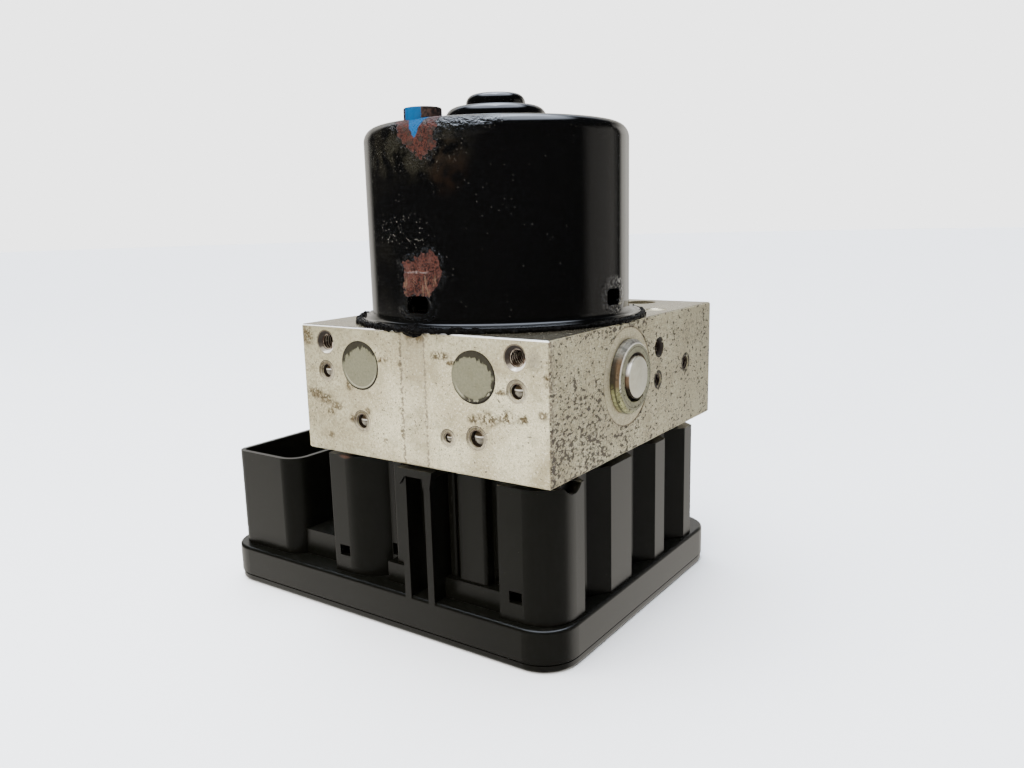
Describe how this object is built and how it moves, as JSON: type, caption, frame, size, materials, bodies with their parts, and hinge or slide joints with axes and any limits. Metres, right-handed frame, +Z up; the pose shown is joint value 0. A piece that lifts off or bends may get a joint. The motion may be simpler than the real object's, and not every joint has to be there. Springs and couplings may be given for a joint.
{
  "type": "abs brake module",
  "caption": "Brake pressure module: pump motor on a drilled valve block that stands on its control unit, with a connector socket at one side.",
  "frame": {"origin": "on the base plane of the control unit's cover, on the motor's axis", "axes": "+Z up through the motor; -Y is the front face with the two accumulator caps; +X is the side with the visible pump plug"},
  "size_m": [0.1442, 0.113, 0.1655],
  "materials": {
    "can_paint": "black gloss paint with chips",
    "rusty_steel": "rusted steel",
    "sealant": "black sealant",
    "magnet": "ferrite",
    "sheet_stack": "electrical sheet",
    "copper": "enamelled copper",
    "steel": "ground steel",
    "carbon": "carbon brush",
    "inner_plastic": "moulded plastic",
    "block_aluminium": "milled, with stains and pits",
    "cap_metal": "passivated, olive grey",
    "plug_steel": "turned and plated",
    "spring_steel": "spring wire",
    "control_plastic": "satin black, moulded",
    "seal_rubber": "rubber",
    "board": "coated circuit board",
    "component": "electronic parts",
    "contact": "tin plated",
    "coil_steel": "zinc plated yokes"
  },
  "bodies": {
    "module": {"motor_can": "can_paint", "can_stud": "rusty_steel", "sealant_bead": "sealant", "magnets": "magnet", "front_bearing": "steel", "rear_bearing": "steel", "brush_holder": "inner_plastic", "brushes": "carbon", "brush_springs": "spring_steel", "motor_lead": "inner_plastic", "hydraulic_block": "block_aluminium", "ball_plugs": "steel", "inlet_valves": "steel", "outlet_valves": "steel", "isolation_valves": "steel", "priming_valves": "steel", "pump_plug_right": "plug_steel", "pump_plug_left": "plug_steel", "pump_end_disc_right": "plug_steel", "pump_end_disc_left": "plug_steel", "pump_spring_right": "spring_steel", "pump_spring_left": "spring_steel", "ecu_housing": "control_plastic", "ecu_cover": "control_plastic", "ecu_seal": "seal_rubber", "ecu_screws": "steel", "circuit_board": "board", "board_components": "component", "connector_pins": "contact", "solenoid_coils": "coil_steel", "accumulator_cap_left": "cap_metal", "accumulator_cap_right": "cap_metal", "accumulator_spring_left": "spring_steel", "accumulator_spring_right": "spring_steel"},
    "rotor": {"rotor_shaft": "steel", "armature_core": "sheet_stack", "armature_windings": "copper", "commutator": "copper"},
    "pump_ring": {"eccentric_ring": "steel"},
    "pump_piston_right_body": {"pump_piston_right": "steel"},
    "pump_piston_left_body": {"pump_piston_left": "steel"},
    "accumulator_piston_right_body": {"accumulator_piston_right": "cap_metal"},
    "accumulator_piston_left_body": {"accumulator_piston_left": "cap_metal"}
  },
  "joints": [
    {"name": "rotor_spin", "type": "hinge", "parent": "module", "child": "rotor", "pos_m": [0, 0, 0.079], "axis": [0, 0, 1], "continuous": true},
    {"name": "pump_ring_shift", "type": "slide", "parent": "module", "child": "pump_ring", "axis": [1, 0, 0], "range_m": [-0.0008, 0.0008]},
    {"name": "pump_piston_right_slide", "type": "slide", "parent": "module", "child": "pump_piston_right_body", "axis": [1, 0, 0], "range_m": [-0.0008, 0.0008], "deforming": ["pump_spring_right"]},
    {"name": "pump_piston_left_slide", "type": "slide", "parent": "module", "child": "pump_piston_left_body", "axis": [1, 0, 0], "range_m": [-0.0008, 0.0008], "deforming": ["pump_spring_left"]},
    {"name": "accumulator_left_slide", "type": "slide", "parent": "module", "child": "accumulator_piston_left_body", "axis": [0, -1, 0], "range_m": [0, 0.01], "stiffness_N_per_m": 900, "springref_m": -0.004, "deforming": ["accumulator_spring_left"]},
    {"name": "accumulator_right_slide", "type": "slide", "parent": "module", "child": "accumulator_piston_right_body", "axis": [0, -1, 0], "range_m": [0, 0.01], "stiffness_N_per_m": 900, "springref_m": -0.004, "deforming": ["accumulator_spring_right"]}
  ],
  "couplings": [
    {"joint": "pump_piston_right_slide", "follows": "pump_ring_shift", "ratio": 1},
    {"joint": "pump_piston_left_slide", "follows": "pump_ring_shift", "ratio": 1}
  ]
}
